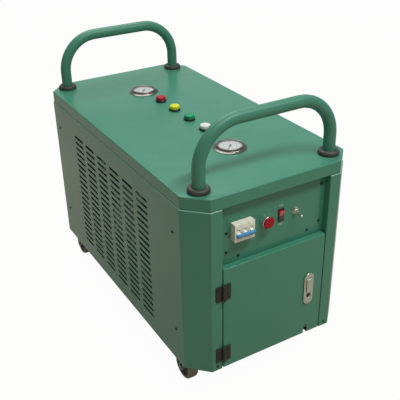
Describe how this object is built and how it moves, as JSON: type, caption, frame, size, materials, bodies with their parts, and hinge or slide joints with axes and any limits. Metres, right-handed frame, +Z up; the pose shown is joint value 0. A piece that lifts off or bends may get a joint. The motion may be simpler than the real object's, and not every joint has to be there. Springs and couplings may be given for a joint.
{
  "type": "refrigerant recovery machine",
  "caption": "Wheeled sheet-metal cabinet with cut corners, slotted sides, tube handles, gauges and pilot lamps on the lid, and a switch panel above a hinged service door.",
  "frame": {"origin": "on the floor under the middle of the cabinet", "axes": "+Z up, -Y out of the front with the door and switches, +X to the right seen from the front"},
  "size_m": [0.4632, 0.8931, 0.745],
  "materials": {
    "paint": "satin powder coat",
    "handle_paint": "gloss paint",
    "grey_sheet": "matt",
    "frame_steel": "bare",
    "rubber": "matt",
    "chrome": "bright",
    "dial": "printed",
    "clear": "clear",
    "black_metal": "black oxide",
    "black_plastic": "moulded",
    "red_lens": "coloured",
    "yellow_lens": "coloured",
    "green_lens": "coloured",
    "white_lens": "milky",
    "ivory": "moulded",
    "blue": "moulded",
    "nickel": "satin nickel",
    "caster_steel": "zinc plated",
    "wheel": "moulded",
    "fins": "bare",
    "motor_paint": "satin",
    "blue_paint": "satin",
    "brass": "machined",
    "copper": "drawn"
  },
  "bodies": {
    "cabinet": {"base_tray": "paint", "left_side_panel": "paint", "right_side_panel": "paint", "rear_panel": "paint", "top_lid": "paint", "control_panel": "paint", "bay_liner": "grey_sheet", "frame_uprights": "frame_steel", "front_handle": "handle_paint", "rear_handle": "handle_paint", "handle_collars": "rubber", "gauge_cases": "chrome", "gauge_dials": "dial", "gauge_lenses": "clear", "lamp_bases": "black_plastic", "red_lamp_lens": "red_lens", "yellow_lamp_lens": "yellow_lens", "green_lamp_lens": "green_lens", "white_lamp_lens": "white_lens", "breaker_body": "ivory", "button_bezel": "chrome", "rocker_frame": "black_plastic", "toggle_bushing": "nickel", "panel_screws": "black_metal", "post_hinge_leaves": "black_metal", "hinge_pins": "frame_steel", "caster_plates": "caster_steel", "compressor": "black_metal", "compressor_mounts": "rubber", "condenser_coil": "fins", "fan_shroud": "grey_sheet", "fan_motor": "motor_paint", "oil_separator": "black_metal", "filter_drier": "blue_paint", "service_valves": "brass", "electrical_box": "grey_sheet", "refrigerant_pipes": "copper"},
    "door": {"front_door": "paint", "door_hinge_leaves": "black_metal", "lock_body": "nickel"},
    "door_grip": {"lock_grip": "nickel"},
    "door_latch": {"lock_plug": "nickel", "lock_cam": "frame_steel"},
    "front_needle": {"front_gauge_pointer": "black_metal"},
    "rear_needle": {"rear_gauge_pointer": "black_metal"},
    "breaker_handle": {"breaker_lever": "blue"},
    "button": {"push_button": "red_lens"},
    "rocker": {"rocker_paddle": "red_lens"},
    "toggle": {"toggle_lever": "nickel"},
    "suction_lever": {"suction_valve_lever": "blue"},
    "discharge_lever": {"discharge_valve_lever": "red_lens"},
    "fan": {"fan_blades": "fins"},
    "front_left_swivel": {"front_left_fork": "caster_steel"},
    "front_left_roller": {"front_left_wheel": "wheel"},
    "front_right_swivel": {"front_right_fork": "caster_steel"},
    "front_right_roller": {"front_right_wheel": "wheel"},
    "rear_left_swivel": {"rear_left_fork": "caster_steel"},
    "rear_left_roller": {"rear_left_wheel": "wheel"},
    "rear_right_swivel": {"rear_right_fork": "caster_steel"},
    "rear_right_roller": {"rear_right_wheel": "wheel"}
  },
  "joints": [
    {"name": "door_swing", "type": "hinge", "parent": "cabinet", "child": "door", "pos_m": [-0.149, -0.4448, 0.2455], "axis": [0, 0, -1], "range_deg": [0, 110]},
    {"name": "door_grip_flip", "type": "hinge", "parent": "door", "child": "door_grip", "pos_m": [0.104, -0.4435, 0.2715], "axis": [-1, 0, 0], "range_deg": [0, 45]},
    {"name": "door_latch_turn", "type": "hinge", "parent": "door", "child": "door_latch", "pos_m": [0.104, -0.44, 0.224], "axis": [0, -1, 0], "range_deg": [0, 90]},
    {"name": "breaker_throw", "type": "hinge", "parent": "cabinet", "child": "breaker_handle", "pos_m": [-0.091, -0.432, 0.477], "axis": [-1, 0, 0], "range_deg": [0, 50]},
    {"name": "button_press", "type": "slide", "parent": "cabinet", "child": "button", "axis": [0, 1, 0], "range_m": [0, 0.004], "stiffness_N_per_m": 400},
    {"name": "rocker_tilt", "type": "hinge", "parent": "cabinet", "child": "rocker", "pos_m": [0.021, -0.4185, 0.475], "axis": [-1, 0, 0], "range_deg": [0, 20]},
    {"name": "toggle_tilt", "type": "hinge", "parent": "cabinet", "child": "toggle", "pos_m": [0.062, -0.427, 0.475], "axis": [-1, 0, 0], "range_deg": [0, 24]},
    {"name": "front_needle_turn", "type": "hinge", "parent": "cabinet", "child": "front_needle", "pos_m": [0, -0.236, 0.5845], "axis": [0, 0, -1], "range_deg": [0, 270]},
    {"name": "rear_needle_turn", "type": "hinge", "parent": "cabinet", "child": "rear_needle", "pos_m": [0, 0.236, 0.5845], "axis": [0, 0, -1], "range_deg": [0, 270]},
    {"name": "suction_valve_turn", "type": "hinge", "parent": "cabinet", "child": "suction_lever", "pos_m": [0.06, -0.315, 0.266], "axis": [0, 0, 1], "range_deg": [0, 90]},
    {"name": "discharge_valve_turn", "type": "hinge", "parent": "cabinet", "child": "discharge_lever", "pos_m": [-0.06, -0.315, 0.266], "axis": [0, 0, -1], "range_deg": [0, 90]},
    {"name": "fan_spin", "type": "hinge", "parent": "cabinet", "child": "fan", "pos_m": [-0.134, 0, 0.322], "axis": [1, 0, 0], "continuous": true},
    {"name": "front_left_swivel_turn", "type": "hinge", "parent": "cabinet", "child": "front_left_swivel", "pos_m": [-0.185, -0.35, 0.085], "axis": [0, 0, 1], "continuous": true},
    {"name": "front_left_wheel_roll", "type": "hinge", "parent": "front_left_swivel", "child": "front_left_roller", "pos_m": [-0.185, -0.32, 0.0375], "axis": [1, 0, 0], "continuous": true},
    {"name": "front_right_swivel_turn", "type": "hinge", "parent": "cabinet", "child": "front_right_swivel", "pos_m": [0.185, -0.35, 0.085], "axis": [0, 0, 1], "continuous": true},
    {"name": "front_right_wheel_roll", "type": "hinge", "parent": "front_right_swivel", "child": "front_right_roller", "pos_m": [0.185, -0.32, 0.0375], "axis": [1, 0, 0], "continuous": true},
    {"name": "rear_left_swivel_turn", "type": "hinge", "parent": "cabinet", "child": "rear_left_swivel", "pos_m": [-0.185, 0.35, 0.085], "axis": [0, 0, 1], "continuous": true},
    {"name": "rear_left_wheel_roll", "type": "hinge", "parent": "rear_left_swivel", "child": "rear_left_roller", "pos_m": [-0.185, 0.38, 0.0375], "axis": [1, 0, 0], "continuous": true},
    {"name": "rear_right_swivel_turn", "type": "hinge", "parent": "cabinet", "child": "rear_right_swivel", "pos_m": [0.185, 0.35, 0.085], "axis": [0, 0, 1], "continuous": true},
    {"name": "rear_right_wheel_roll", "type": "hinge", "parent": "rear_right_swivel", "child": "rear_right_roller", "pos_m": [0.185, 0.38, 0.0375], "axis": [1, 0, 0], "continuous": true}
  ]
}
